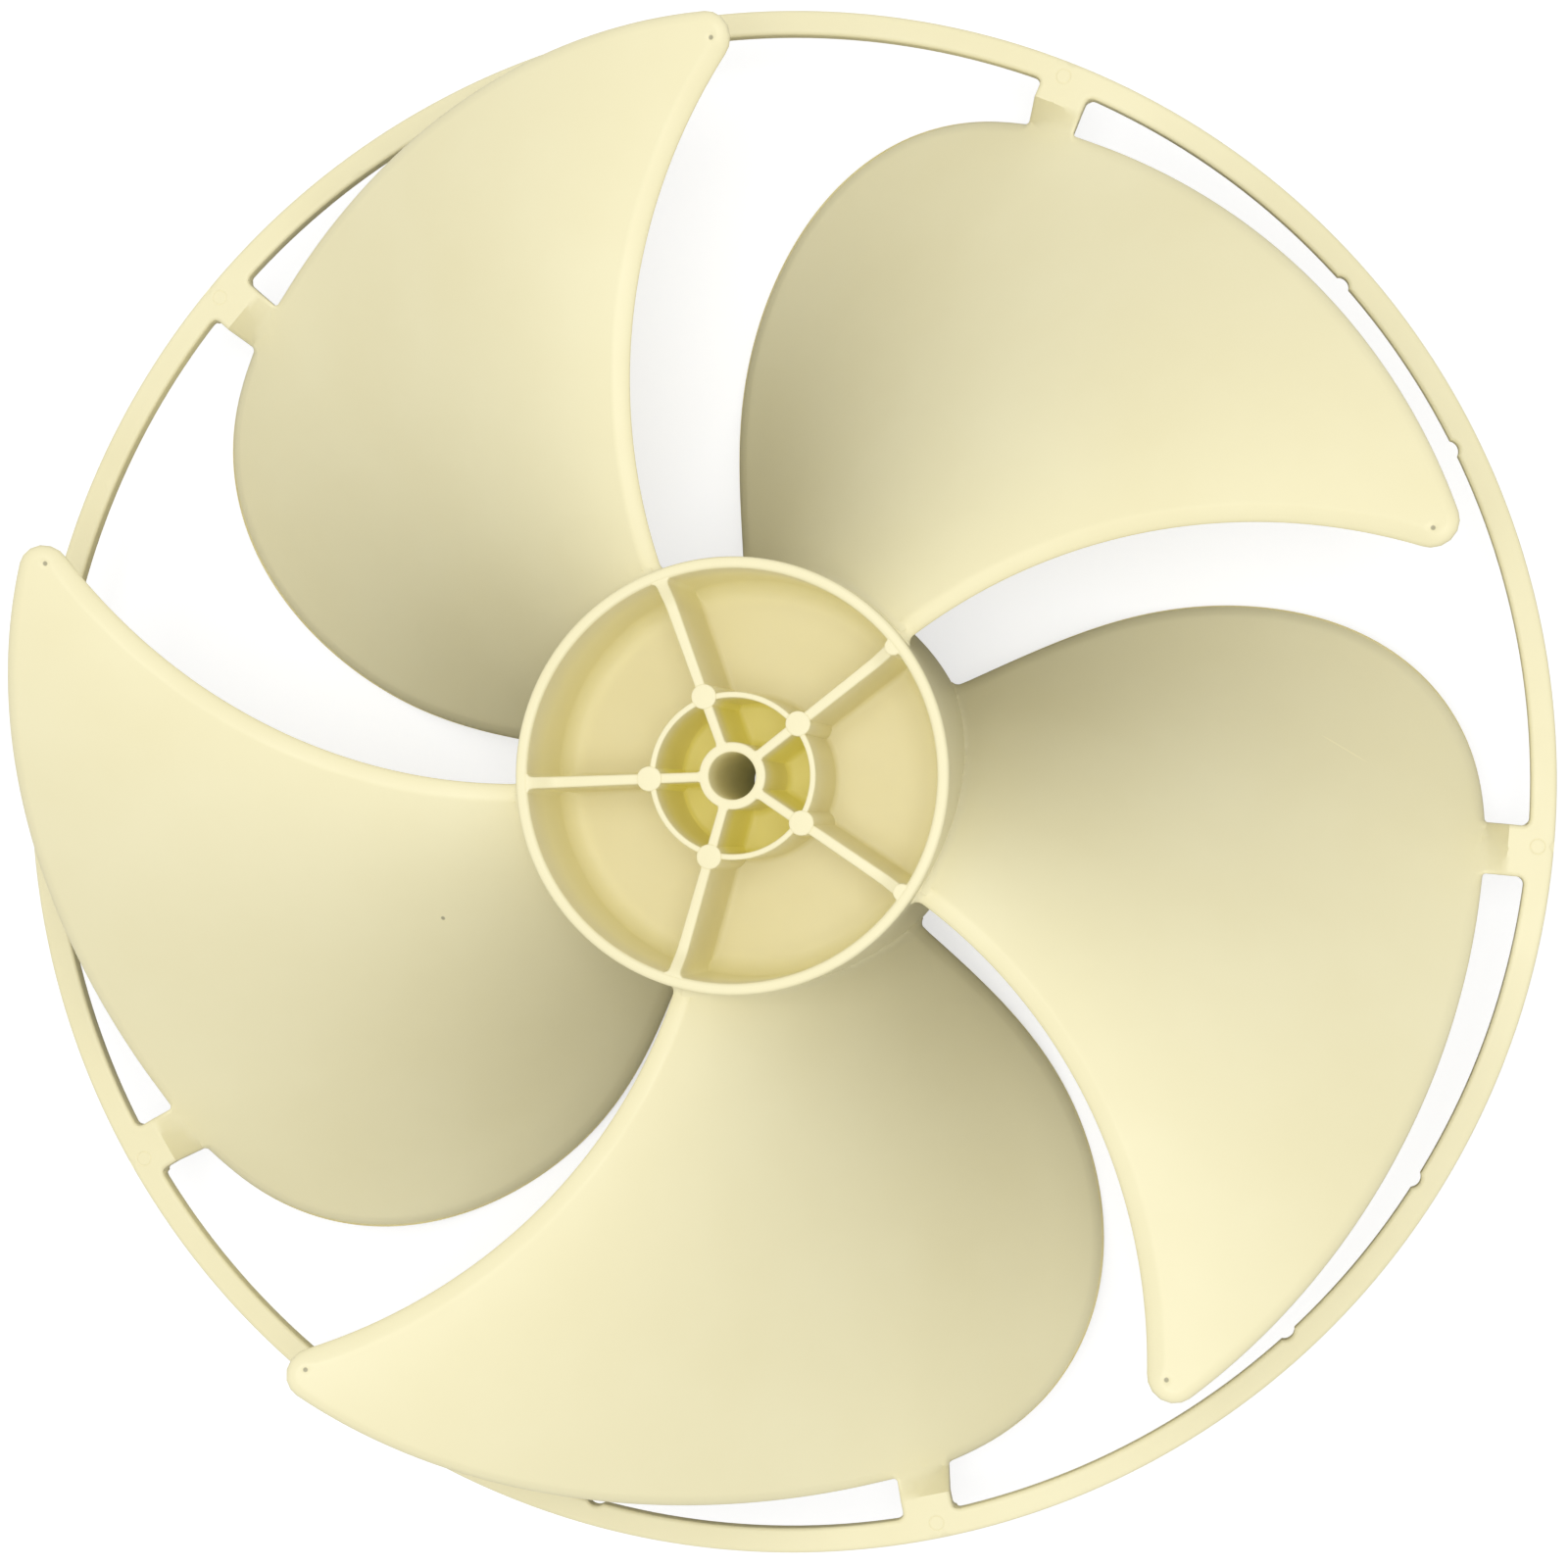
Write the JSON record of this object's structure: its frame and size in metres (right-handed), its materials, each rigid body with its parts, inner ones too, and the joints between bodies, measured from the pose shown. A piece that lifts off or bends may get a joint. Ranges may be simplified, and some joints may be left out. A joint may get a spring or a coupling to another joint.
{
  "type": "axial fan wheel with slinger ring",
  "caption": "One-piece moulded axial fan wheel with swept twisted blades, a ribbed open hub with a shaft bore, and an outer slinger ring joined to the blades by tabs.",
  "frame": {"origin": "centre of the shaft bore at the hub's back face", "axes": "+Z along the bore axis towards the hub's open side, +X and +Y across the wheel"},
  "size_m": [0.4151, 0.4152, 0.1219],
  "materials": {
    "moulded_plastic": "satin moulded plastic, pale cream yellow"
  },
  "bodies": {
    "root": {"fan_wheel": "moulded_plastic"}
  },
  "joints": []
}
